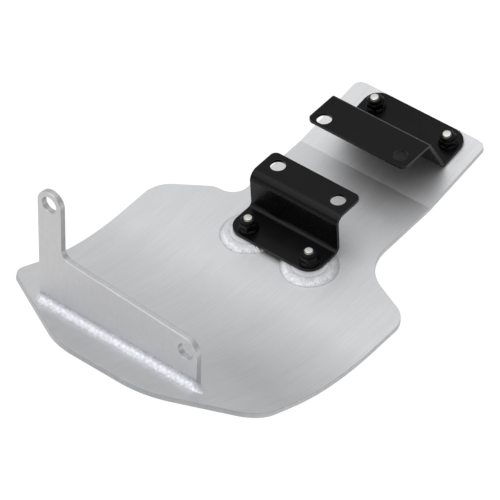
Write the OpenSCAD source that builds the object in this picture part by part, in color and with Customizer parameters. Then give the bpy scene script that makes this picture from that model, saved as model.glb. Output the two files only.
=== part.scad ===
// Skid plate for a small motorcycle: one bent aluminium sheet with a welded front bracket,
// two welded bosses and two bolted Z brackets. Sizes are in millimetres.
// X runs across the sheet, Y toward its tail and Z up. The flat underside lies on Z = 0.

/* [Sheet] */
// Thickness of the aluminium sheet
sheet_t = 3; // [2.5:0.5:3.5]
// Length of the flat part, from the roll to the tail fold
flat_len = 114; // [112:1:118]
// Radius of the upward roll, at the middle of the sheet
roll_r = 169; // [160:1:180]
// Slope of the nose
nose_deg = 24.5; // [22:0.5:26]
// Length of the straight nose in front of the roll
nose_len = 69.5; // [66:0.5:72]
// Slope of the tail
tail_deg = 8.5; // [6:0.5:10]
// Length of the tail behind the fold
tail_len = 58.4; // [58:0.2:62]
// Radius of the tail fold, at the middle of the sheet
fold_r = 8; // [5:1:12]

/* [Outline of the sheet] */
// Half width of the neck and tail
neck_half = 49.5; // [48:0.5:52]
// Left end of the neck, in front of the fold
neck_end_left = 61.7; // [60.5:0.1:62]
// Right end of the neck, in front of the fold
neck_end_right = 62.1; // [60.5:0.1:63]
// Corner radius of the tail
tail_corner_r = 5.4; // [4:0.2:8]
// Fillet between neck and wing, left
neck_fillet_left = 11.3; // [9:0.1:12]
// Fillet between neck and wing, right
neck_fillet_right = 28.5; // [24:0.5:30]
// Shoulder of the left wing, from the middle line
shoulder_half = 66.2; // [65:0.1:68]
// Shoulder of the left wing, in front of the fold
shoulder_left = 62.7; // [62.2:0.1:63.5]
// Rounding of the left shoulder
shoulder_r = 9.7; // [6:0.1:11]
// Left edge of the body, from the middle line
body_left = 96.7; // [95:0.1:98]
// Right edge of the body at the wing, from the middle line
body_right = 94.6; // [93:0.1:96]
// How far the right edge draws in along the roll
draw_in = 1.4; // [0.8:0.1:2]
// Back corner of the left wing, in front of the fold
wing_left = 82; // [80:0.5:84]
// Back corner of the right wing, in front of the fold
wing_right = 81.5; // [79:0.1:83]
// Rounding of the left wing corner
wing_left_r = 19.3; // [14:0.1:20]
// Rounding of the right wing corner
wing_right_r = 16.5; // [14:0.1:20]
// Start of the left nose chamfer, in front of the roll
chamfer_left = 25.7; // [24:0.1:28]
// Start of the right nose chamfer, in front of the roll
chamfer_right = 29.8; // [28:0.1:33]
// Left end of the front edge, from the middle line
nose_left = 26; // [24:0.5:30]
// Right end of the front edge, from the middle line
nose_right = 38.5; // [34:0.1:40]
// Rounding at the left chamfer
chamfer_left_r = 15; // [12:0.5:20]
// Rounding at the right chamfer
chamfer_right_r = 27.6; // [22:0.1:32]
// Rounding at the left end of the front edge
nose_left_r = 45; // [36:1:52]
// Rounding at the right end of the front edge
nose_right_r = 50; // [38:1:52]

/* [Front bracket] */
// Thickness of the front bracket
front_t = 4; // [3:0.5:5]
// Backward lean of the front bracket
front_lean = 6; // [4:0.5:8]
// Front face of the bracket, behind the front edge of the sheet
front_setback = 32.1; // [30:0.1:34]
// Left end of the bracket, from the middle line
front_left = 66.3; // [64:0.1:68]
// Right end of the bracket, from the middle line
front_right = 52; // [50:0.5:54]
// Width of the tall arm
arm_w = 17.5; // [16:0.5:20]
// Height of the arm's hole above the foot
arm_hole_h = 73.2; // [70:0.2:76]
// Height of the low wall where it meets the arm
wall_high = 38.6; // [37:0.2:41]
// Height of the low wall at its right corner
wall_low = 31; // [31:0.2:33]
// Fillet between arm and wall
arm_fillet = 6; // [4:0.5:8]
// Rounding of the right end
wall_end_r = 10; // [8:0.5:11]
// Hole in the low wall, left of the bracket's right end
wall_hole_in = 8.9; // [8:0.1:10]
// Height of the wall's hole above the foot
wall_hole_h = 21.8; // [20:0.2:22.4]
// Diameter of the two holes in the front bracket
front_hole_d = 10.4; // [9:0.2:10.6]
// Weld leg on the bracket
weld_up = 4.3; // [3.5:0.1:5]
// Weld leg on the sheet
weld_out = 5.8; // [5:0.1:6.5]

/* [Bosses and bolts] */
// Radius of the two bosses
boss_r = 11.5; // [11:0.1:12]
// Height of the bosses above the sheet
boss_h = 2.3; // [2:0.1:3]
// Wall left above the recess for the bolt head
boss_wall = 2; // [1.8:0.1:2.2]
// Radius of the recess
recess_r = 8; // [7:0.1:8.5]
// Outer radius of the weld ring
weld_ring_r = 18; // [17:0.1:18.5]
// Distance of the bosses in front of the fold
boss_back = 81.6; // [80:0.1:83]
// Left middle bolt, from the middle line
bolt_mid_left = 23.5; // [22.5:0.1:24.5]
// Right middle bolt, from the middle line
bolt_mid_right = 22.8; // [22:0.1:24]
// Left rear bolt, from the middle line
bolt_rear_left = 25.5; // [24:0.1:26.5]
// Right rear bolt, from the middle line
bolt_rear_right = 30; // [29:0.1:31]
// Rear bolts, in front of the tail's end
bolt_rear_in = 12.7; // [12.2:0.1:13.9]
// Clearance holes for the bolts, diameter
bolt_hole_d = 6.6; // [6.4:0.1:7]

/* [Z brackets] */
// Sheet thickness of both brackets
steel_t = 2; // [1.8:0.1:2.2]
// Diameter of the mounting holes in both flanges
flange_hole_d = 9.6; // [9:0.1:10.5]
// Rounding of the foot corners
foot_r = 10.5; // [9:0.1:11]
// Rounding of the flange corners
flange_r = 4; // [3:0.1:5]
// Middle bracket: left end, from the middle line
mid_left = 35.2; // [34.5:0.1:36.5]
// Middle bracket: right end, from the middle line
mid_right = 31; // [30.7:0.1:32.5]
// Middle bracket: front edge of the foot, in front of the fold
mid_front = 89.4; // [89:0.1:91]
// Middle bracket: front face of the web, in front of the fold
mid_web = 65; // [64.6:0.1:65.6]
// Middle bracket: rear edge of the flange, in front of the fold
mid_rear = 41; // [40:0.1:42]
// Middle bracket: top of the flange above the sheet
mid_top = 30.4; // [29:0.1:32]
// Middle bracket: left flange hole, from the middle line
mid_hole_left = 25.6; // [25:0.1:26.5]
// Middle bracket: right flange hole, from the middle line
mid_hole_right = 21.4; // [20.5:0.1:22]
// Middle bracket: left flange hole, in front of the fold
mid_hole_left_s = 49.7; // [49:0.1:50.5]
// Middle bracket: right flange hole, in front of the fold
mid_hole_right_s = 51.3; // [50.5:0.1:51.8]
// Rear bracket: left end, from the middle line
rear_left = 35.6; // [35:0.1:37]
// Rear bracket: right end, from the middle line
rear_right = 38.2; // [37.5:0.1:39]
// Rear bracket: rear edge of the foot, in front of the tail's end
rear_foot_in = 1.2; // [0.8:0.1:1.6]
// Rear bracket: length of the foot, from its rear edge to the bend
rear_foot_len = 26.8; // [26:0.1:27.6]
// Rear bracket: bend at the flange, behind the fold
rear_fold_y = 15.8; // [15:0.1:17]
// Rear bracket: front edge of the flange, in front of the fold
rear_front = 9.8; // [9:0.1:11]
// Rear bracket: top of the flange above the flat sheet
rear_top = 33.3; // [32:0.1:34]
// Rear bracket: left flange hole, from the middle line
rear_hole_left = 26.9; // [26:0.1:27.5]
// Rear bracket: right flange hole, from the middle line
rear_hole_right = 29.5; // [28.5:0.1:30]
// Rear bracket: left flange hole, in front of the fold
rear_hole_left_s = 3.7; // [3:0.1:4]
// Rear bracket: right flange hole, in front of the fold
rear_hole_right_s = 1.7; // [1:0.1:2.5]

/* [Hidden] */
$fn = 96;

fold_y = flat_len / 2;
roll_y = -flat_len / 2;
half_t = sheet_t / 2;
shank_r = 3;
head_r = 5.3;
head_h = 3.2;
nut_h = 8;
tip_out = 1.1;
recess_h = sheet_t + boss_h - boss_wall;
boss_y = fold_y - boss_back;
// how far a rounding's circle reaches past its sides, so that arc and side cross cleanly
bite = 0.003;
// bottom surface of the sheet at the end of the roll
roll_out_r = roll_r + half_t;
nose_y = roll_y - roll_out_r * sin(nose_deg);
nose_z = roll_out_r * (1 - cos(nose_deg));
front_u = nose_len - front_setback;
roll_len = roll_out_r * sin(nose_deg);
// rear bolts, rear edge and bend of the rear foot, behind the fold
bolt_rear_s = tail_len - bolt_rear_in;
rear_foot_s = tail_len - rear_foot_in;
rear_bend_s = rear_foot_s - rear_foot_len;

function unit(v) = v / norm(v);
function cross2(a, b) = a[0] * b[1] - a[1] * b[0];
function pick(v, i) = v[(i + len(v)) % len(v)];
// angle by which the path turns at point i
function turn(p, i) =
    let (a = unit(p[i] - p[i - 1]), b = unit(p[i + 1] - p[i])) atan2(cross2(a, b), a * b);
// reach of a rounding along its corner's sides, and the centre of its arc
function half_of(a, v, b) = acos(max(-1, min(1, unit(a - v) * unit(b - v)))) / 2;
function reach(a, v, b, r, past = bite) = (r - past) / tan(half_of(a, v, b));
function centre(a, v, b, r, past = bite) =
    v + unit(unit(a - v) + unit(b - v)) * (r - past) / sin(half_of(a, v, b));
function convex(p, i) = cross2(p[i] - pick(p, i - 1), pick(p, i + 1) - p[i]) > 0;

// sliver between a convex corner and its rounding
module corner_piece(a, v, b, r, past = bite) {
    c = centre(a, v, b, r, past);
    difference() {
        polygon([v + unit(a - v) * reach(a, v, b, r, past), v + (v - c) * 0.12,
            v + unit(b - v) * reach(a, v, b, r, past)]);
        translate(c) circle(r);
    }
}

// polygon with an exact arc at every corner that has a radius, counterclockwise points
module rounded_poly(p, r) {
    n = len(p);
    q = [for (i = [0:n - 1]) let (a = pick(p, i - 1), v = p[i], b = pick(p, i + 1))
        each (r[i] > 0 && !convex(p, i)) ? [v + unit(a - v) * reach(a, v, b, r[i]),
            centre(a, v, b, r[i]), v + unit(b - v) * reach(a, v, b, r[i])] : [v]];
    difference() {
        polygon(q);
        for (i = [0:n - 1]) if (r[i] > 0) {
            if (convex(p, i)) corner_piece(pick(p, i - 1), p[i], pick(p, i + 1), r[i]);
            else translate(centre(pick(p, i - 1), p[i], pick(p, i + 1), r[i])) circle(r[i]);
        }
    }
}

// bent sheet seen from its edge: path p, bend radii r at the middle of the thickness t
function side_point(p, i, d) = let (n = len(p),
    u = unit(p[min(i + 1, n - 1)] - p[min(i, n - 2)]), w = unit(p[max(i, 1)] - p[max(i - 1, 0)]),
    m = unit(u + w)) p[i] + d * [-m[1], m[0]] / (u * m);
module bent_strip(p, r, t) {
    n = len(p);
    rounded_poly(concat([for (i = [0:n - 1]) side_point(p, i, -t / 2)],
            [for (i = [n - 1:-1:0]) side_point(p, i, t / 2)]),
        concat([for (i = [0:n - 1]) r[i] > 0 ? r[i] + (turn(p, i) > 0 ? 1 : -1) * t / 2 : 0],
            [for (i = [n - 1:-1:0]) r[i] > 0 ? r[i] - (turn(p, i) > 0 ? 1 : -1) * t / 2 : 0]));
}

// side view in Y and Z, carried along X from a to b
module across(a, b) {
    translate([a, 0, 0]) rotate([90, 0, 90]) linear_extrude(b - a) children();
}

// frames of the tail and of the nose: children lie on the bottom surface, Y away from the bend
module on_tail() {
    translate([0, fold_y, 0]) rotate([tail_deg, 0, 0]) children();
}
module on_nose() {
    translate([0, nose_y, nose_z]) rotate([-nose_deg, 0, 0]) children();
}
// frame of the front bracket: X across, Y up the bracket, its front face on Z = 0
module on_front() {
    on_nose() translate([0, -front_u, sheet_t]) rotate([nose_deg, 0, 0])
        rotate([90 - front_lean, 0, 0]) children();
}

module sheet_side() {
    tn = roll_r * tan(nose_deg / 2);
    y_roll = roll_y - tn;
    end_n = nose_len + tn;
    nose_tip = [y_roll - end_n * cos(nose_deg), half_t + end_n * sin(nose_deg)];
    fold_mid = [fold_y - half_t * tan(tail_deg / 2), half_t];
    tail_end = fold_mid + (tail_len + half_t * tan(tail_deg / 2)) * [cos(tail_deg), sin(tail_deg)];
    bent_strip([nose_tip, [y_roll, half_t], fold_mid, tail_end], [0, roll_r, fold_r, 0], sheet_t);
}

// cuts beside neck and wing; p is the outline from the neck to the wing's back corner
module side_cut(p, r, body, wing_r) {
    n = len(p);
    translate([0, 0, -6]) {
        linear_extrude(40) rounded_poly(concat([for (i = [0:n - 2]) p[i]],
            [p[n - 1] + 0.4 * (p[n - 1] - p[n - 2]), [body + 20, fold_y + 80], [p[0][0], fold_y + 80]]),
            concat(r, [0, 0, 0]));
        linear_extrude(40) corner_piece(p[n - 2], p[n - 1], [body, roll_y - 60], wing_r);
    }
}

// cuts beside the nose; a is the start of the chamfer, b its end, above a point up the side
module nose_cut(above, a, b, a_r, b_r) {
    translate([0, 0, -6]) {
        linear_extrude(20) polygon([a + 0.3 * (a - b), b + 0.3 * (b - a), [a[0] + 20, b[1] - 20]]);
        linear_extrude(20) corner_piece(above, a, b, a_r, 0.03);
        linear_extrude(20) corner_piece(a, b, [0, b[1]], b_r);
    }
}

// right edge of the body at y: straight, drawn in toward the nose
function right_at(y) = body_right - draw_in * (fold_y - wing_right - y) / (roll_len + flat_len - wing_right);
function nose_right_at(u) = [right_at(nose_y - u * cos(nose_deg)), -u];

module skid_plate() {
    color("#cdd0d4") difference() {
        across(-body_left, body_right + 6) sheet_side();
        mirror([1, 0, 0]) side_cut([[neck_half, fold_y - neck_end_left],
            [shoulder_half, fold_y - shoulder_left], [body_left, fold_y - wing_left]],
            [neck_fillet_left, shoulder_r], body_left, wing_left_r);
        side_cut([[neck_half, fold_y - neck_end_right], [body_right, fold_y - wing_right]],
            [neck_fillet_right], body_right, wing_right_r);
        translate([0, 0, -6]) linear_extrude(100) polygon([[body_right + 20, fold_y],
            [right_at(fold_y), fold_y], [right_at(-250), -250], [body_right + 20, -250]]);
        mirror([1, 0, 0]) on_nose() nose_cut([body_left, 40], [body_left, -chamfer_left],
            [nose_left, -nose_len], chamfer_left_r, nose_left_r);
        on_nose() nose_cut(nose_right_at(-40), nose_right_at(chamfer_right),
            [nose_right, -nose_len], chamfer_right_r, nose_right_r);
        for (side = [0, 1]) on_tail() mirror([side, 0, 0]) translate([0, 0, -6]) linear_extrude(20)
            corner_piece([neck_half, 0], [neck_half, tail_len], [0, tail_len], tail_corner_r);
        for (x = [-bolt_mid_left, bolt_mid_right])
            translate([x, boss_y, -1]) cylinder(r = boss_r, h = sheet_t + 2);
        for (x = [-bolt_rear_left, bolt_rear_right])
            on_tail() translate([x, bolt_rear_s, -3]) cylinder(d = bolt_hole_d, h = sheet_t + 6);
    }
}

module front_outline() {
    arm_right = arm_w - front_left;
    rounded_poly([[-front_left, -6], [front_right, -6], [front_right, wall_low],
        [arm_right, wall_high], [arm_right, arm_hole_h + arm_w / 2],
        [-front_left, arm_hole_h + arm_w / 2]], [0, 0, wall_end_r, arm_fillet, 0, 0]);
}

// what the round top of the arm leaves away
module arm_top() {
    difference() {
        translate([-front_left - 1, arm_hole_h]) square([arm_w + 2, arm_w]);
        translate([arm_w / 2 - front_left, arm_hole_h]) circle(arm_w / 2);
    }
}

module below_nose() {
    on_nose() translate([-150, -90, sheet_t - 30]) cube([300, 90, 30]);
}

module front_bracket() {
    color("#c6c9ce") difference() {
        on_front() translate([0, 0, -front_t]) difference() {
            linear_extrude(front_t) difference() {
                front_outline();
                arm_top();
            }
            translate([arm_w / 2 - front_left, arm_hole_h, -1])
                cylinder(d = front_hole_d, h = front_t + 2);
            translate([front_right - wall_hole_in, wall_hole_h, -1])
                cylinder(d = front_hole_d, h = front_t + 2);
        }
        below_nose();
    }
}

// weld in section: corner at the origin, first leg along the angle a0, second along a1;
// it reaches past both legs and is cut back to them
module weld_section(a0, up, a1, out, bulge) {
    a = up * [cos(a0), sin(a0)];
    b = out * [cos(a1), sin(a1)];
    half = norm(b - a) / 2;
    r = (half * half + bulge * bulge) / (2 * bulge);
    side = cross2(b - a, -a) > 0 ? 1 : -1;
    n = side * [-(b - a)[1], (b - a)[0]] / (2 * half);
    past = unit(b - a);
    intersection() {
        polygon([-unit(a + b) * 1.5, a - past * 1.5, a - past * 1.5 - 6 * n, b + past * 1.5 - 6 * n,
            b + past * 1.5]);
        translate((a + b) / 2 + n * (r - bulge)) circle(r);
    }
}

module front_bracket_weld() {
    color("#dadde2") difference() {
        on_nose() translate([0, -front_u, sheet_t]) {
            // seam along the front foot
            across(-front_left + 3, front_right - 1.4)
                weld_section(90 - front_lean + nose_deg, weld_up, 180, weld_out, 1.2);
            // returns round both ends
            translate([front_right - 1.4, front_t / 2, 0]) rotate_extrude() intersection() {
                weld_section(90, weld_up + 0.8, 0, weld_out + 2.3, 1.2);
                translate([0, -2]) square(20);
            }
            translate([-front_left + 4.5, front_t / 2, 0]) rotate_extrude() intersection() {
                weld_section(90, weld_up + 0.6, 0, weld_out + 2.2, 1.2);
                translate([0, -2]) square(20);
            }
        }
        // the bracket's own room and all behind it
        on_front() translate([-front_left, -12, -40]) cube([front_left + front_right, 50, 40]);
        on_front() translate([-100, -12, -40 - front_t]) cube([200, 50, 40]);
        below_nose();
    }
}

module boss() {
    difference() {
        cylinder(r = boss_r, h = sheet_t + boss_h);
        translate([0, 0, -1]) cylinder(r = recess_r, h = recess_h + 1);
        cylinder(d = bolt_hole_d, h = sheet_t + boss_h + 1);
    }
}
module boss_left() {
    color("#d3d6da") translate([-bolt_mid_left, boss_y, 0]) boss();
}
module boss_right() {
    color("#d3d6da") translate([bolt_mid_right, boss_y, 0]) boss();
}

module boss_weld() {
    rotate_extrude() intersection() {
        translate([boss_r, sheet_t]) weld_section(90, boss_h - 0.2, 0, weld_ring_r - boss_r, 0.8);
        translate([boss_r, sheet_t]) square(20);
    }
}
module boss_weld_left() {
    color("#d9dce1") translate([-bolt_mid_left, boss_y, 0]) boss_weld();
}
module boss_weld_right() {
    color("#d9dce1") translate([bolt_mid_right, boss_y, 0]) boss_weld();
}

// rounded corners of a bracket at y, with the sheet on the side dir of it
module end_corners(left, right, y, dir, r) {
    linear_extrude(60) corner_piece([-left, y + dir * 20], [-left, y], [0, y], r);
    linear_extrude(60) corner_piece([right, y + dir * 20], [right, y], [0, y], r);
}

module middle_bracket() {
    z_foot = sheet_t + boss_h + steel_t / 2;
    z_top = sheet_t + mid_top - steel_t / 2;
    y_web = fold_y - mid_web + steel_t / 2;
    y0 = fold_y - mid_front;
    y1 = fold_y - mid_rear;
    color("#202024") difference() {
        across(-mid_left, mid_right)
            bent_strip([[y0, z_foot], [y_web, z_foot], [y_web, z_top], [y1, z_top]],
                [0, 4, 5.5, 0], steel_t);
        end_corners(mid_left, mid_right, y0, 1, foot_r);
        end_corners(mid_left, mid_right, y1, -1, flange_r);
        for (x = [-bolt_mid_left, bolt_mid_right])
            translate([x, boss_y, z_foot - 3]) cylinder(d = bolt_hole_d, h = 6);
        translate([-mid_hole_left, fold_y - mid_hole_left_s, z_top - 3])
            cylinder(d = flange_hole_d, h = 6);
        translate([mid_hole_right, fold_y - mid_hole_right_s, z_top - 3])
            cylinder(d = flange_hole_d, h = 6);
    }
}

module rear_bracket() {
    n_foot = sheet_t + steel_t / 2;
    z_top = sheet_t + rear_top - steel_t / 2;
    dir = [cos(tail_deg), sin(tail_deg)];
    up = [-sin(tail_deg), cos(tail_deg)];
    foot_end = [fold_y, 0] + dir * rear_foot_s + up * n_foot;
    foot_bend = [fold_y, 0] + dir * rear_bend_s + up * n_foot;
    y0 = fold_y - rear_front;
    color("#1f1f23") difference() {
        across(-rear_left, rear_right)
            bent_strip([[y0, z_top], [fold_y + rear_fold_y, z_top], foot_bend, foot_end],
                [0, 2, 2, 0], steel_t);
        end_corners(rear_left, rear_right, y0, 1, flange_r);
        on_tail() translate([0, 0, -2]) end_corners(rear_left, rear_right, rear_foot_s, -1, foot_r);
        for (x = [-bolt_rear_left, bolt_rear_right])
            on_tail() translate([x, bolt_rear_s, n_foot - 3]) cylinder(d = bolt_hole_d, h = 6);
        translate([-rear_hole_left, fold_y - rear_hole_left_s, z_top - 3])
            cylinder(d = flange_hole_d, h = 6);
        translate([rear_hole_right, fold_y - rear_hole_right_s, z_top - 3])
            cylinder(d = flange_hole_d, h = 6);
    }
}

// round head bolt, the underside of its head on Z = 0, shank upward
module bolt(grip) {
    top = grip + nut_h + tip_out;
    color("#c9c6be") difference() {
        union() {
            intersection() {
                translate([0, 0, -head_h]) cylinder(r = head_r, h = head_h);
                translate([0, 0, head_r * 1.15 - head_h]) sphere(head_r * 1.15);
            }
            cylinder(r = shank_r, h = top - 0.6);
            translate([0, 0, top - 0.6]) cylinder(r1 = shank_r, r2 = 2.4, h = 0.6);
        }
        translate([0, 0, -head_h - 1]) cylinder(r = 2.31, h = 3, $fn = 6);
    }
}

// flange nut with a collar, its flange on Z = 0
module nut() {
    color("#161619") difference() {
        union() {
            cylinder(r = 6.2, h = 1);
            translate([0, 0, 1]) cylinder(r1 = 6.2, r2 = 5.3, h = 0.9);
            intersection() {
                cylinder(r = 5.77, h = 5.8, $fn = 6);
                cylinder(r1 = 9.4, r2 = 5.1, h = 5.8);
            }
            cylinder(r = 4.4, h = nut_h - 0.6);
            translate([0, 0, nut_h - 0.6]) cylinder(r1 = 4.4, r2 = 3.9, h = 0.6);
        }
        translate([0, 0, -1]) cylinder(r = shank_r, h = nut_h + 2);
    }
}

module at_middle(x) {
    translate([x, boss_y, recess_h]) children();
}
module at_rear(x) {
    on_tail() translate([x, bolt_rear_s, 0]) children();
}

module bolt_middle_left() {
    at_middle(-bolt_mid_left) bolt(boss_wall + steel_t);
}
module bolt_middle_right() {
    at_middle(bolt_mid_right) bolt(boss_wall + steel_t);
}
module bolt_rear_left() {
    at_rear(-bolt_rear_left) bolt(sheet_t + steel_t);
}
module bolt_rear_right() {
    at_rear(bolt_rear_right) bolt(sheet_t + steel_t);
}
module nut_middle_left() {
    at_middle(-bolt_mid_left) translate([0, 0, boss_wall + steel_t]) nut();
}
module nut_middle_right() {
    at_middle(bolt_mid_right) translate([0, 0, boss_wall + steel_t]) nut();
}
module nut_rear_left() {
    at_rear(-bolt_rear_left) translate([0, 0, sheet_t + steel_t]) nut();
}
module nut_rear_right() {
    at_rear(bolt_rear_right) translate([0, 0, sheet_t + steel_t]) nut();
}

skid_plate();
front_bracket();
front_bracket_weld();
boss_left();
boss_right();
boss_weld_left();
boss_weld_right();
middle_bracket();
rear_bracket();
bolt_middle_left();
bolt_middle_right();
bolt_rear_left();
bolt_rear_right();
nut_middle_left();
nut_middle_right();
nut_rear_left();
nut_rear_right();
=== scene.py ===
"""A bent aluminium skid plate with its welded front bracket and two bolted black brackets.

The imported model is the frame. Lengths here are in metres, in the frame's own axes:
X across the sheet, Y toward its tail, Z up, with the flat underside on Z = 0.
"""

import math
import random

import bmesh
import bpy
from mathutils import Matrix, Vector


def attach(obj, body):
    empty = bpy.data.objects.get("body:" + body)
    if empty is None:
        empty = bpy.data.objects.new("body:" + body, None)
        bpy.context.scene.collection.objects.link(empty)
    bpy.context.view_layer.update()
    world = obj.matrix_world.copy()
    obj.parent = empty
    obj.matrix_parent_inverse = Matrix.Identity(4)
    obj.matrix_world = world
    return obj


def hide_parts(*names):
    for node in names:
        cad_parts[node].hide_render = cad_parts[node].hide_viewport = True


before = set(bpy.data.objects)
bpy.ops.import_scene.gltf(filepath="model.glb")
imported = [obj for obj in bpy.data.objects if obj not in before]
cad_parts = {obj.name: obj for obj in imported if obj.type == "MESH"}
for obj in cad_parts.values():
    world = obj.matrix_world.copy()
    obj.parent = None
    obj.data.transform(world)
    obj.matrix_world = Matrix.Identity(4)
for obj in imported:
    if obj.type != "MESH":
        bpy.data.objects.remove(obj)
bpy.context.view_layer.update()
MM = 0.001


# --- Camera -------------------------------------------------------------------------
# A long lens looks down on the plate from the nose's right side, at 42 degrees round
# and 45 degrees up. The camera leans a little, as the photograph does.
camera_azimuth = math.radians(42.034)
camera_elevation = math.radians(44.778)
camera_lean = math.radians(-3.721)
camera_place = Vector((0.98099, -1.13901, 1.47758))
lens_mm, sensor_mm = 253.8, 36

away = Vector((math.sin(camera_azimuth) * math.cos(camera_elevation),
               -math.cos(camera_azimuth) * math.cos(camera_elevation),
               math.sin(camera_elevation)))
level_right = Vector((math.cos(camera_azimuth), math.sin(camera_azimuth), 0))
level_up = away.cross(level_right)
right = level_right * math.cos(camera_lean) + level_up * math.sin(camera_lean)
up = level_up * math.cos(camera_lean) - level_right * math.sin(camera_lean)
camera_data = bpy.data.cameras.new("camera")
camera_data.lens = lens_mm
camera_data.sensor_width = sensor_mm
camera_data.clip_start, camera_data.clip_end = 0.1, 20
camera = bpy.data.objects.new("camera", camera_data)
bpy.context.scene.collection.objects.link(camera)
camera.matrix_world = Matrix.Translation(camera_place) @ Matrix(
    (right, up, away)).transposed().to_4x4()
bpy.context.scene.camera = camera


# --- Studio -------------------------------------------------------------------------
# A white table lit from below stands in a dim even tent, so the shadows on it stay weak.
# Soft panels hang overhead and over the nose, and a glow stands low in the back.
floor_size, floor_drop = 6.0, 0.2 * MM
table_grey, table_light = 0.12, 0.93
tent_levels = [(0.0, 0.4), (0.3, 0.42), (0.6, 0.48), (1.0, 0.9)]  # (height, level)
tent_full = 2.5
tent_tint = (0.985, 0.99, 1.0, 1)
glow_toward, glow_power, glow_level = (-0.671, 0.695, 0.259), 6.0, 0.26
panels = {
    "top": ((0.05, 0, 1.2), 1.2, 2.9),
    "over_nose": ((-0.384, -0.592, 0.971), 1.4, 6.4),
}

scene = bpy.context.scene
scene.view_settings.view_transform = "Standard"
scene.view_settings.look = "None"


def new_object(name, data):
    made = bpy.data.objects.new(name, data)
    bpy.context.scene.collection.objects.link(made)
    return made


def add(tree, kind, feeds=(), **values):
    """A node with its values set. Each feed is a socket or a constant, and the input it
    goes to."""
    node = tree.nodes.new("ShaderNode" + kind)
    for key, value in values.items():
        setattr(node, key, value)
    for source, target in feeds:
        if isinstance(source, bpy.types.NodeSocket):
            tree.links.new(source, node.inputs[target])
        else:
            node.inputs[target].default_value = source
    return node


world = bpy.data.worlds.new("tent")
scene.world = world
world.use_nodes = True
tent = world.node_tree
tent.nodes.clear()
where = add(tent, "TexCoord").outputs["Generated"]
height_of = add(tent, "SeparateXYZ", [(where, 0)])
rise = add(tent, "FloatCurve", [(height_of.outputs["Z"], "Value")])
curve = rise.mapping.curves[0]
while len(curve.points) < len(tent_levels):
    curve.points.new(0.5, 0.5)
for point, (height, level) in zip(curve.points, tent_levels):
    point.location = (height, level / tent_full)
    point.handle_type = "VECTOR"
rise.mapping.update()
walls = add(tent, "Math", [(rise.outputs[0], 0), (tent_full, 1)], operation="MULTIPLY")
facing = add(tent, "VectorMath", [(where, 0), (glow_toward, 1)], operation="DOT_PRODUCT")
forward = add(tent, "Math", [(facing.outputs["Value"], 0), (0.0, 1)], operation="MAXIMUM")
narrowed = add(tent, "Math", [(forward.outputs[0], 0), (glow_power, 1)], operation="POWER")
summed = add(tent, "Math", [(narrowed.outputs[0], 0), (glow_level, 1), (walls.outputs[0], 2)],
             operation="MULTIPLY_ADD")
tent_light = add(tent, "Background", [(tent_tint, "Color"), (summed.outputs[0], "Strength")])
out = tent.nodes.new("ShaderNodeOutputWorld")
tent.links.new(tent_light.outputs[0], out.inputs["Surface"])

floor_mesh = bpy.data.meshes.new("floor")
half = floor_size / 2
floor_mesh.from_pydata([(-half, -half, 0), (half, -half, 0), (half, half, 0), (-half, half, 0)],
                       [], [(0, 1, 2, 3)])
floor = new_object("floor", floor_mesh)
floor.location.z = -floor_drop
paper = bpy.data.materials.new("pale_paper")
paper.use_nodes = True
paper_shader = paper.node_tree.nodes["Principled BSDF"]
paper_shader.inputs["Base Color"].default_value = (table_grey, table_grey, table_grey, 1)
paper_shader.inputs["Emission Color"].default_value = (1, 1, 1, 1)
paper_shader.inputs["Emission Strength"].default_value = table_light
paper_shader.inputs["Roughness"].default_value = 0.9
paper_shader.inputs["Specular IOR Level"].default_value = 0.1
floor.data.materials.append(paper)

for name, (place, side, power) in panels.items():
    lamp = bpy.data.lights.new(name, "AREA")
    lamp.shape = "RECTANGLE"
    lamp.size = lamp.size_y = side
    lamp.energy = power
    hung = new_object(name, lamp)
    hung.location = place
    hung.rotation_mode = "QUATERNION"
    hung.rotation_quaternion = (-Vector(place)).to_track_quat("-Z", "Y")


# --- Aluminium sheet ----------------------------------------------------------------
# One sheet of 3 mm aluminium, cut to outline, its nose rolled up and its tail bent up
# a little. Mill finish with a fine grain along its length, edges broken with a file.
sheet_edge = 0.35 * MM
tail_end_y, spike_x, straight_x = 114.4 * MM, (45.9 * MM, 46.4 * MM), 42.0 * MM
sheet_colour, sheet_rough = (0.73, 0.732, 0.74), 0.52
# the cut faces' colour is darker than the faces': painted shade
filed_edge_shade_colour, filed_rough = (0.44, 0.445, 0.455), 0.42
merge_within, flat_within = 2e-7, math.radians(0.3)
bevel_steps, bevel_from = 2, math.radians(30)
cut_below = 0.6  # how far a cut face may look along the sheet's own face


def group_start(name, ins, outs):
    """An empty node group with its named sockets, each input (name, kind, value)."""
    made = bpy.data.node_groups.new(name, "ShaderNodeTree")
    for title, kind, value in ins:
        socket = made.interface.new_socket(title, in_out="INPUT", socket_type="NodeSocket" + kind)
        if value is not None:
            socket.default_value = value
    for title, kind in outs:
        made.interface.new_socket(title, in_out="OUTPUT", socket_type="NodeSocket" + kind)
    return made, made.nodes.new("NodeGroupInput"), made.nodes.new("NodeGroupOutput")


def noise(tree, vector, scale, detail, roughness=0.5):
    return add(tree, "TexNoise", [(vector, "Vector"), (scale, "Scale"), (detail, "Detail"),
                                  (roughness, "Roughness")]).outputs[0]


def remap(tree, value, low, high, to_low=0.0, to_high=1.0, clamp=True):
    return add(tree, "MapRange", [(value, "Value"), (low, "From Min"), (high, "From Max"),
                                  (to_low, "To Min"), (to_high, "To Max")],
               clamp=clamp).outputs[0]


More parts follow.
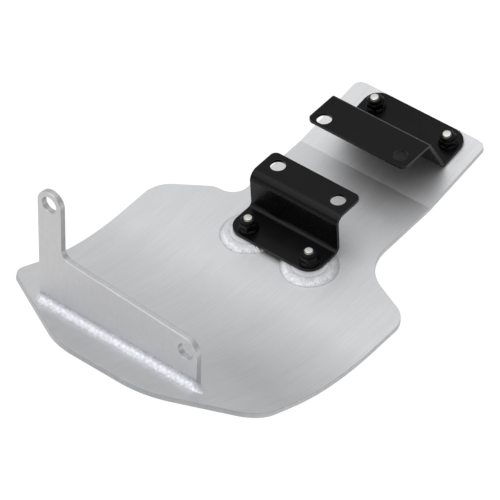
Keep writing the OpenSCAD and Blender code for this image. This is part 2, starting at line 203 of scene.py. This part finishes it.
# streaks drawn out along Y: fine lines with slow changes of tone over them
long_grain, g_in, g_out = group_start("long_grain", [
    ("Vector", "Vector", None), ("Fineness", "Float", 900.0), ("Length", "Float", 40.0)],
    [("Lines", "Float"), ("Tone", "Float")])
stretch = add(long_grain, "CombineXYZ", [(g_in.outputs["Fineness"], "X"),
                                         (g_in.outputs["Length"], "Y"),
                                         (g_in.outputs["Length"], "Z")])
drawn = add(long_grain, "VectorMath", [(g_in.outputs["Vector"], 0), (stretch.outputs[0], 1)],
            operation="MULTIPLY")
slow = add(long_grain, "VectorMath", [(drawn.outputs[0], 0), ((0.12, 0.35, 0.35), 1)],
           operation="MULTIPLY")
long_grain.links.new(noise(long_grain, drawn.outputs[0], 1.0, 3.0, 0.65), g_out.inputs["Lines"])
long_grain.links.new(noise(long_grain, slow.outputs[0], 1.0, 2.0), g_out.inputs["Tone"])

# soft patches of handling and oxide, between Low and High
patches, p_in, p_out = group_start("patches", [
    ("Vector", "Vector", None), ("Scale", "Float", 30.0), ("Low", "Float", 0.0),
    ("High", "Float", 1.0)], [("Value", "Float")])
cloud = noise(patches, p_in.outputs["Vector"], p_in.outputs["Scale"], 4.0, 0.55)
patches.links.new(remap(patches, cloud, 0.3, 0.7, p_in.outputs["Low"], p_in.outputs["High"]),
                  p_out.inputs[0])

# sparse hairline scratches that cross the grain
scratches, s_in, s_out = group_start("scratches", [
    ("Vector", "Vector", None), ("Amount", "Float", 0.5)], [("Mask", "Float")])
hair_fineness, hair_from, hair_to = (1300.0, 28.0, 28.0), 0.70, 0.78
marks = []
for turn, shift in ((0.5, 3.1), (-0.9, 7.7)):
    turned = add(scratches, "VectorRotate", [(s_in.outputs["Vector"], "Vector"),
                                             (turn, "Angle")], rotation_type="Z_AXIS")
    thin = add(scratches, "VectorMath", [(turned.outputs[0], 0), (hair_fineness, 1),
                                         ((shift, shift, 0.0), 2)], operation="MULTIPLY_ADD")
    hair = noise(scratches, thin.outputs[0], 1.0, 1.0)
    marks.append(remap(scratches, hair, hair_from, hair_to))
either = add(scratches, "Math", [(marks[0], 0), (marks[1], 1)], operation="MAXIMUM")
weighed = add(scratches, "Math", [(either.outputs[0], 0), (s_in.outputs["Amount"], 1)],
              operation="MULTIPLY")
scratches.links.new(weighed.outputs[0], s_out.inputs[0])


def place_group(tree, group, **values):
    """A node group in a material, fed with the piece's own coordinates."""
    node = tree.nodes.new("ShaderNodeGroup")
    node.node_tree = group
    coords = tree.nodes.get("coords")
    if coords is None:
        coords = tree.nodes.new("ShaderNodeTexCoord")
        coords.name = "coords"
    tree.links.new(coords.outputs["Object"], node.inputs["Vector"])
    for key, value in values.items():
        node.inputs[key].default_value = value
    return node


def new_material(name, metallic):
    made = bpy.data.materials.new(name)
    made.use_nodes = True
    shader = made.node_tree.nodes["Principled BSDF"]
    shader.inputs["Metallic"].default_value = metallic
    return made, made.node_tree, shader


def tint(tree, colour, factor):
    """The colour, made lighter or darker by factor."""
    base = tree.nodes.new("ShaderNodeRGB")
    base.outputs[0].default_value = (*colour, 1)
    return add(tree, "VectorMath", [(base.outputs[0], 0), (factor, "Scale")],
               operation="SCALE").outputs[0]


def finish_shader(tree, shader, colour, rough, height, relief, depth):
    """Colour, roughness and a bump of the given strength and depth on a shader."""
    bump = add(tree, "Bump", [(height, "Height"), (relief, "Strength"), (depth, "Distance")])
    tree.links.new(colour, shader.inputs["Base Color"])
    tree.links.new(rough, shader.inputs["Roughness"])
    tree.links.new(bump.outputs[0], shader.inputs["Normal"])


def aluminium(name, colour, rough, grain=900.0, length=40.0, contrast=0.02, relief=0.04,
              rough_spread=0.02, scratch=0.2):
    """Bare aluminium: grain, patches of tone and a few hairlines round its mean colour."""
    made, tree, shader = new_material(name, 1.0)
    streaks = place_group(tree, long_grain, Fineness=grain, Length=length)
    clouds = place_group(tree, patches, Scale=28.0, Low=-1.0, High=1.0)
    hairs = place_group(tree, scratches, Amount=scratch)
    mixed = add(tree, "Math", [(streaks.outputs["Lines"], 0), (2.0, 1),
                               (streaks.outputs["Tone"], 2)], operation="MULTIPLY_ADD")
    drift = remap(tree, mixed.outputs[0], 1.1, 1.9, -contrast, contrast, clamp=False)
    cloudy = add(tree, "Math", [(clouds.outputs[0], 0), (contrast * 0.4, 1), (drift, 2)],
                 operation="MULTIPLY_ADD")
    marked = add(tree, "Math", [(hairs.outputs[0], 0), (0.10, 1), (cloudy.outputs[0], 2)],
                 operation="MULTIPLY_ADD")
    lift = add(tree, "Math", [(marked.outputs[0], 0), (1.0, 1)], operation="ADD")
    wander = remap(tree, streaks.outputs["Tone"], 0.3, 0.7, rough - rough_spread,
                   rough + rough_spread)
    finish_shader(tree, shader, tint(tree, colour, lift.outputs[0]), wander,
                  streaks.outputs["Lines"], relief, 0.15 * MM)
    return made


def stand_in(made, node):
    """The object rides on the one body and takes the CAD node's place."""
    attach(made, "root")
    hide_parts(node)


def eased_piece(node, name, edge, material, edge_material=None, trim=None,
                flat_way=None):
    """The node's own shape with its sharp edges broken by a small bevel. trim may move a
    point of it first. Faces that don't look along flat_way are cut edges."""
    mesh = bpy.data.meshes.new(name)
    work = bmesh.new()
    work.from_mesh(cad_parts[node].data)
    if trim is not None:
        for vert in work.verts:
            vert.co = trim(vert.co)
    bmesh.ops.remove_doubles(work, verts=work.verts, dist=merge_within)
    bmesh.ops.dissolve_limit(work, angle_limit=flat_within, verts=work.verts,
                             edges=work.edges, delimit={"NORMAL"})
    work.normal_update()
    for face in work.faces:
        face.smooth = True
        if flat_way is not None and abs(face.normal.dot(flat_way)) < cut_below:
            face.material_index = 1
    work.to_mesh(mesh)
    work.free()
    mesh.materials.append(material)
    made = new_object(name, mesh)
    ease = made.modifiers.new("ease", "BEVEL")
    ease.width = edge
    ease.segments = bevel_steps
    ease.limit_method = "ANGLE"
    ease.angle_limit = bevel_from
    ease.harden_normals = True
    ease.use_clamp_overlap = True
    if edge_material is not None:
        mesh.materials.append(edge_material)
        ease.material = 1
    even = made.modifiers.new("even", "WEIGHTED_NORMAL")
    even.mode = "FACE_AREA"
    even.weight = 50
    even.keep_sharp = True
    stand_in(made, node)


def round_off(point):
    """The tail's rear corners run smoothly into its end."""
    if point.y > tail_end_y and spike_x[0] < abs(point.x) < spike_x[1]:
        return Vector((math.copysign(straight_x, point.x), point.y, point.z))
    return point


satin = aluminium("satin_sheet", sheet_colour, sheet_rough, contrast=0.032, rough_spread=0.008)
# cut faces and bevels of the sheet: a filed grain, and a darker colour that is painted shade
filed_and_shaded_edge = aluminium("filed_edge_painted_shade", filed_edge_shade_colour, filed_rough, grain=1500.0, length=300.0,
                  contrast=0.08, scratch=0.5)
eased_piece("skid_plate", "sheet", sheet_edge, satin, filed_and_shaded_edge, trim=round_off,
            flat_way=Vector((0, 0, 1)))


# --- Front bracket ------------------------------------------------------------------
# A 4 mm aluminium plate with a tall arm and a low wall, drilled twice and welded on
# its foot across the nose. Sawn and tumbled, so it is duller than the sheet.
plate_edge = 0.45 * MM
lean = math.radians(6.0)
plate_colour, plate_rough = (0.545, 0.545, 0.55), 0.48
plate_edge_colour, plate_edge_rough = (0.58, 0.58, 0.585), 0.46
tumbled = aluminium("tumbled_plate", plate_colour, plate_rough, grain=500.0, length=220.0,
                    contrast=0.03, relief=0.10, scratch=0.15)
tumbled_edge = aluminium("tumbled_edge", plate_edge_colour, plate_edge_rough, grain=700.0,
                         length=500.0, contrast=0.05)
eased_piece("front_bracket", "front_plate", plate_edge, tumbled, tumbled_edge,
            flat_way=Vector((0, -math.cos(lean), math.sin(lean))))


# --- Front weld ---------------------------------------------------------------------
# One fillet weld along the front of the bracket's foot, laid by hand from left to
# right: overlapping crescents, a rounded start and a flat drawn-out end.
sheet_t = 3.0 * MM
roll_start, roll_out, slope = -57.0 * MM, 170.5 * MM, math.radians(24.5)
seam_back, seam_left, seam_right = 37.4 * MM, -66.3 * MM, 52.0 * MM
leg_up, leg_out, leg_bulge = 4.5 * MM, 6.2 * MM, 1.2 * MM
ripple_pitch, ripple_height, ripple_spread = 3.3 * MM, 0.3 * MM, 0.16
crescent_depth, toe_wobble, bead_sink, root_depth = 1.5 * MM, 0.35 * MM, 0.12 * MM, 0.5 * MM
bead_in, bead_steps = 1.0 * MM, 12
start_in, start_off, start_turn, start_steps = 3.2 * MM, 1.2 * MM, math.pi / 2 + 0.15, 12
run_steps = 380
end_in, end_off, end_turn, end_steps = 0.8 * MM, 1.0 * MM, math.pi / 2 - 0.5, 24
tail_off, tail_turn, tail_steps = 2.6 * MM, 0.75, 14
bead_colour, bead_rough = (0.76, 0.77, 0.81), 0.62
dice = random.Random(7)

seam_y = roll_start - roll_out * math.sin(slope) - seam_back * math.cos(slope)
seam_z = roll_out * (1 - math.cos(slope)) + seam_back * math.sin(slope)


def on_seam(x, y, z):
    """A point of the seam's own frame: -Y down the nose from the foot, Z off the sheet's
    underside."""
    return Vector((x, seam_y + y * math.cos(slope) + z * math.sin(slope),
                   seam_z - y * math.sin(slope) + z * math.cos(slope)))


def ripples(length, pitch, spread):
    """The ripples along a seam, each (start, end, strength)."""
    found, at = [], -pitch
    while at < length + pitch:
        step = pitch * dice.uniform(1 - spread, 1 + spread)
        found.append((at, at + step, dice.uniform(0.75, 1.15)))
        at += step
    return found


def ripple_at(found, s):
    """Height of the ripple at s: steep where it starts, falling to the next one."""
    for start, end, strength in found:
        if start <= s < end:
            f = (s - start) / (end - start)
            return strength * (1 - f) * min(1.0, f * 7) * 1.25
    return 0.0


def closed_strip(mesh_name, rows, loop=False):
    """A closed solid from like rows of points, each a ring of the section."""
    mesh = bpy.data.meshes.new(mesh_name)
    count, wide = len(rows), len(rows[0])
    faces = []
    for i in range(count if loop else count - 1):
        a, b = i * wide, ((i + 1) % count) * wide
        for j in range(wide):
            k = (j + 1) % wide
            faces.append((a + j, a + k, b + k, b + j))
    if not loop:
        faces.append(tuple(reversed(range(wide))))
        faces.append(tuple((count - 1) * wide + j for j in range(wide)))
    mesh.from_pydata([point for row in rows for point in row], [], faces)
    work = bmesh.new()
    work.from_mesh(mesh)
    bmesh.ops.recalc_face_normals(work, faces=work.faces)
    for face in work.faces:
        face.smooth = len(face.verts) == 4
    work.to_mesh(mesh)
    work.free()
    return mesh


def bulged(a, b, bulge, steps):
    """Points from a to b in a plane, bowed out by bulge on the left of a to b, each with
    the way out and its share of the way."""
    side = (b - a).normalized()
    normal = Vector((-side.y, side.x))
    found = []
    for i in range(steps + 1):
        t = i / steps
        found.append((a.lerp(b, t) + normal * bulge * 4 * t * (1 - t), normal, t))
    return found


# stations along the seam: (foot point, direction out of it, leg out, height), the last
# two as shares of the weld's own; direction pi / 2 looks down the nose, 0 to the right
stations = []
for i in range(start_steps + 1):
    stations.append((Vector((seam_left + start_in, start_off)),
                     math.pi + 0.15 - start_turn * i / start_steps,
                     0.86 + 0.012 * i, 0.7 + 0.025 * i))
run = seam_right - seam_left
for i in range(1, run_steps):
    x = seam_left + start_in + (run - start_in - end_in) * i / run_steps
    stations.append((Vector((x, 0)), math.pi / 2, 1.0, 1.0))
for i in range(end_steps + 1):
    turn = end_turn * i / end_steps
    stations.append((Vector((seam_right - end_in, end_off * i / end_steps)),
                     math.pi / 2 - turn,
                     1.0 + 0.55 * math.sin(turn) ** 2, 1.0 - 0.45 * i / end_steps))
for i in range(1, tail_steps + 1):
    f = i / tail_steps
    stations.append((Vector((seam_right - end_in, end_off + tail_off * f)),
                     0.5 - tail_turn * f, 1.42 - 0.9 * f ** 1.2, 0.55 - 0.3 * f))

waves = ripples(run + 30 * MM, ripple_pitch, ripple_spread)
rows, travelled, last = [], 0.0, None
for foot, angle, size, rise in stations:
    outward = Vector((math.cos(angle), -math.sin(angle)))
    middle = foot + outward * leg_out * 0.5
    if last is not None:
        travelled += (middle - last).length
    last = middle
    top = Vector((math.sin(slope - lean) * leg_up * rise * (1 if angle > 1 else math.sin(angle)),
                  leg_up * rise * math.cos(slope - lean)))
    toe = Vector((leg_out * size, 0.0))
    row = []
    for point, normal, t in bulged(toe, top, -leg_bulge * rise, bead_steps):
        crescent = travelled - crescent_depth * (1 - (2 * t - 1) ** 2)
        lift = ripple_height * rise * ripple_at(waves, crescent) * (0.35 + 2.6 * t * (1 - t))
        wobble = toe_wobble * ripple_at(waves, travelled) * (1 - t)
        point = point - normal * (lift - bead_sink) + Vector((wobble, 0))
        row.append(on_seam(*(foot + outward * point.x), sheet_t + point.y))
    inner = foot - outward * bead_in
    low = foot + outward * leg_out * size * 0.9
    row.append(on_seam(*inner, sheet_t + leg_up * rise * 0.8))
    row.append(on_seam(*inner, sheet_t - root_depth))
    row.append(on_seam(*low, sheet_t - root_depth))
    rows.append(row)


def own_piece(name, mesh, materials, node):
    """A piece with a mesh of its own in the place of a CAD node."""
    for material in materials:
        mesh.materials.append(material)
    stand_in(new_object(name, mesh), node)


def weld_metal(name, colour, rough):
    """Cast weld metal with a soft change of tone and a fine grit."""
    made, tree, shader = new_material(name, 1.0)
    clouds = place_group(tree, patches, Scale=420.0, Low=0.86, High=1.08)
    dull = place_group(tree, patches, Scale=700.0, Low=rough - 0.1, High=rough + 0.12)
    grit = place_group(tree, patches, Scale=1800.0, Low=0.0, High=1.0)
    finish_shader(tree, shader, tint(tree, colour, clouds.outputs[0]), dull.outputs[0],
                  grit.outputs[0], 0.15, 0.1 * MM)
    return made


bead_metal = weld_metal("weld_metal", bead_colour, bead_rough)
own_piece("front_bead", closed_strip("front_bead", rows), [bead_metal],
          "front_bracket_weld")


# --- Bosses -------------------------------------------------------------------------
# Two turned aluminium rings set in holes of the sheet and welded round on top. They
# carry the middle bracket and hide the bolt heads in a recess from below.
boss_edge = 0.3 * MM
boss_y = -24.6 * MM
boss_places = {"left": Vector((-23.5 * MM, boss_y)), "right": Vector((22.8 * MM, boss_y))}
boss_r, boss_h, ring_r, ring_mid_r = 11.5 * MM, 2.3 * MM, 18.0 * MM, 15 * MM
ring_bulge, ring_sink, ring_wander = 0.7 * MM, 0.05 * MM, 0.25 * MM
ring_ripples, ring_ripple_h, ring_spread = 64, 0.3 * MM, 0.22
ring_columns, ring_steps = 620, 16
boss_colour, boss_rough = (0.80, 0.805, 0.815), 0.6
ring_colour, ring_rough = (0.70, 0.705, 0.72), 0.6


def window(t, rise_at, full_at, fall_at, end_at):
    """Smooth 0 to 1 and back to 0 along t."""
    up = min(1.0, max(0.0, (t - rise_at) / (full_at - rise_at)))
    down = min(1.0, max(0.0, (end_at - t) / (end_at - fall_at)))
    return up * up * (3 - 2 * up) * down * down * (3 - 2 * down)


turned = aluminium("turned_boss", boss_colour, boss_rough, grain=700.0, length=700.0,
                   contrast=0.02, relief=0.03, scratch=0.0)
ring_metal = weld_metal("ring_weld_metal", ring_colour, ring_rough)
ring_run = 2 * math.pi * ring_mid_r
for side, place in boss_places.items():
    eased_piece("boss_" + side, "boss_ring_" + side, boss_edge, turned)
    drifts = [dice.uniform(-1, 1) for _ in range(5)]
    waves = ripples(ring_run, ring_run / ring_ripples, ring_spread)
    rows = []
    for i in range(ring_columns):
        angle = 2 * math.pi * i / ring_columns
        ray = Vector((math.cos(angle), math.sin(angle)))
        wander = ring_wander * sum(d * math.sin((k + 1) * angle + 2 * d)
                                   for k, d in enumerate(drifts)) / 2
        top = Vector((boss_r - 0.35 * MM, boss_h + 0.03 * MM))
        toe = Vector((ring_r + wander, 0.0))
        section = []
        for point, normal, t in bulged(toe, top, -ring_bulge, ring_steps):
            swept = angle * ring_mid_r + 0.9 * MM * t + 0.5 * MM * (1 - (2 * t - 1) ** 2)
            ripple = ripple_at(waves, swept % ring_run)
            lift = ring_ripple_h * ripple * window(t, 0.05, 0.16, 0.5, 0.74)
            section.append(point - normal * (lift - ring_sink))
        # the foot of the section, hidden in the boss and the sheet
        section += [Vector((boss_r - 0.6 * MM, boss_h * 0.6)),
                    Vector((boss_r - 0.6 * MM, -0.3 * MM)),
                    Vector((ring_r - 0.8 * MM, -0.3 * MM))]
        rows.append([Vector((*(place + ray * p.x), sheet_t + p.y)) for p in section])
    own_piece("ring_bead_" + side, closed_strip("ring_bead_" + side, rows, loop=True),
              [ring_metal], "boss_weld_" + side)


# --- Black brackets -----------------------------------------------------------------
# Two Z brackets bent from 2 mm steel, drilled and coated satin black. The middle one
# stands on the bosses, the rear one on the raised tail.
bracket_edge = 0.4 * MM
coat_colour, coat_rough, coat_shine = (0.0028, 0.0028, 0.0034), 0.27, 0.16
# the edges' black is lighter and patched with grey: a painted highlight, with a little wear
edge_highlight_colour, edge_rough, edge_shine, edge_wear_and_highlight = (0.006, 0.006, 0.0065), 0.28, 0.36, 0.02
grey_wear_and_highlight = (0.18, 0.18, 0.185, 1)


def black_coat(name, colour, rough, shine, wear_and_highlight=0.0):
    """Satin black coating with a fine orange peel; its last argument mixes in grey patches, for a
    little wear and a painted highlight on edges.
    """
    made, tree, shader = new_material(name, 0.0)
    shader.inputs["Specular IOR Level"].default_value = shine
    clouds = place_group(tree, patches, Scale=45.0, Low=0.8, High=1.25)
    shade = tint(tree, colour, clouds.outputs[0])
    if wear_and_highlight > 0:
        rub_and_highlight_patches = place_group(tree, patches, Scale=260.0, Low=-0.6, High=1.0)
        rub_and_highlight_share = remap(tree, rub_and_highlight_patches.outputs[0], 0.1, 0.9, 0.0, wear_and_highlight)
        # sockets 6 and 7 are a colour mix's two colours, output 2 its result
        shade = add(tree, "Mix", [(rub_and_highlight_share, "Factor"), (shade, 6), (grey_wear_and_highlight, 7)],
                    data_type="RGBA").outputs[2]
    dull = place_group(tree, patches, Scale=70.0, Low=rough - 0.05, High=rough + 0.06)
    peel = place_group(tree, patches, Scale=1300.0, Low=0.0, High=1.0)
    finish_shader(tree, shader, shade, dull.outputs[0], peel.outputs[0], 0.12, 0.06 * MM)
    return made


black = black_coat("black_coat", coat_colour, coat_rough, coat_shine)
# the brackets' eased edges take the lighter black: painted highlight
black_edge_highlight = black_coat("black_coat_edge_highlight", edge_highlight_colour, edge_rough, edge_shine, edge_wear_and_highlight)
eased_piece("middle_bracket", "middle_z", bracket_edge, black, black_edge_highlight)
eased_piece("rear_bracket", "rear_z", bracket_edge, black, black_edge_highlight)


# --- Nuts and bolts -----------------------------------------------------------------
# Four M6 bolts with a socket in their round heads come up from below, each with a
# black flange nut. Only the bright threaded ends of the bolts show above the nuts.
nut_edge = 0.2 * MM
tail_rise, fold_y, rear_bolt_s = math.radians(8.5), 57.0 * MM, (58.4 - 12.7) * MM
recess_h, middle_top, rear_top = 3.3 * MM, 13.1 * MM, 14.1 * MM
head_r, head_h, head_ball, head_ease = 5.3 * MM, 3.2 * MM, 6.095 * MM, 0.15 * MM
socket_r, socket_floor = 2.31 * MM, -1.2 * MM
shank_r, root_r, tip_r = 3.0 * MM, 2.5 * MM, 2.35 * MM
thread_pitch, thread_from, thread_step, thread_rows = 1.0 * MM, 0.06 * MM, 0.08 * MM, 44
thread_end = 3.7 * MM
bolt_columns, bolt_sharp = 72, math.radians(35)
nut_colour, nut_rough, nut_shine = (0.0015, 0.0015, 0.0015), 0.24, 0.12
# the nuts' eased edges are a lighter black than their faces: painted highlight
nut_edge_highlight_colour, nut_edge_shine = (0.003, 0.003, 0.003), 0.3
zinc_colour, zinc_rough = (0.74, 0.725, 0.685), 0.34
thread_colour, thread_rough = (0.20, 0.195, 0.185), 0.36

on_tail = Matrix.Translation((0, fold_y, 0)) @ Matrix.Rotation(tail_rise, 4, "X")
bolts = {
    "middle_left": (Matrix.Translation((*boss_places["left"], recess_h)), middle_top),
    "middle_right": (Matrix.Translation((*boss_places["right"], recess_h)), middle_top),
    "rear_left": (on_tail @ Matrix.Translation((-25.5 * MM, rear_bolt_s, 0)), rear_top),
    "rear_right": (on_tail @ Matrix.Translation((30.0 * MM, rear_bolt_s, 0)), rear_top),
}


def bolt_radius(kind, z, angle, top):
    """Radius of the bolt's skin at height z and angle for one kind of row."""
    if kind == "hex":
        return socket_r * math.cos(math.pi / 6) / math.cos(angle % (math.pi / 3) - math.pi / 6)
    if kind == "ball":
        return min(head_r, math.sqrt(head_ball ** 2 - (z + head_h - head_ball) ** 2))
    if kind == "thread":
        turn = (z / thread_pitch - angle / (2 * math.pi)) % 1.0
        ridge = root_r + (shank_r - root_r) * (0.5 + 0.5 * math.cos(2 * math.pi * turn)) ** 0.8
        return max(tip_r, min(ridge, tip_r + (top - z) * 1.1))
    return float(kind)


def bolt_mesh(mesh_name, place, top):
    """The bolt from its tip down to the floor of its socket, the seat of the head on 0."""
    kinds = [(tip_r * 0.9, top), (tip_r, top - 0.04 * MM)]
    kinds += [("thread", top - thread_from - thread_step * k) for k in range(thread_rows)]
    kinds += [(shank_r, top - thread_end), (shank_r, 0.0), (head_r - head_ease, 0.0)]
    kinds += [("ball", -(0.1 + 0.2 * k) * MM) for k in range(13)]
    kinds += [("hex", -2.78 * MM), ("hex", -2.6 * MM), ("hex", socket_floor)]
    rows = []
    for kind, z in kinds:
        row = []
        for i in range(bolt_columns):
            angle = 2 * math.pi * i / bolt_columns
            r = bolt_radius(kind, z, angle, top)
            row.append(place @ Vector((r * math.cos(angle), r * math.sin(angle), z)))
        rows.append(row)
    mesh = closed_strip(mesh_name, rows)
    for face in mesh.polygons:
        height = (place.inverted() @ face.center).z
        if top - thread_end < height < top - thread_from:
            face.material_index = 1
    mesh.set_sharp_from_angle(angle=bolt_sharp)
    return mesh


nut_black = black_coat("nut_black", nut_colour, nut_rough, nut_shine)
# the lighter black on the nuts' edges is painted highlight
nut_edge_black_highlight = black_coat("nut_edge_black_highlight", nut_edge_highlight_colour, nut_rough, nut_edge_shine)
zinc = aluminium("zinc_bolt", zinc_colour, zinc_rough, grain=1500.0, length=1500.0,
                 contrast=0.06, scratch=0.0)
# the thread is coloured darker than the bolt's bright end
darker_thread = aluminium("darker_thread", thread_colour, thread_rough, grain=1500.0,
                         length=1500.0, contrast=0.1, scratch=0.0)
for place, (seat, top) in bolts.items():
    eased_piece("nut_" + place, "flange_nut_" + place, nut_edge, nut_black, nut_edge_black_highlight)
    own_piece("stud_" + place, bolt_mesh("stud_" + place, seat, top),
              [zinc, darker_thread], "bolt_" + place)
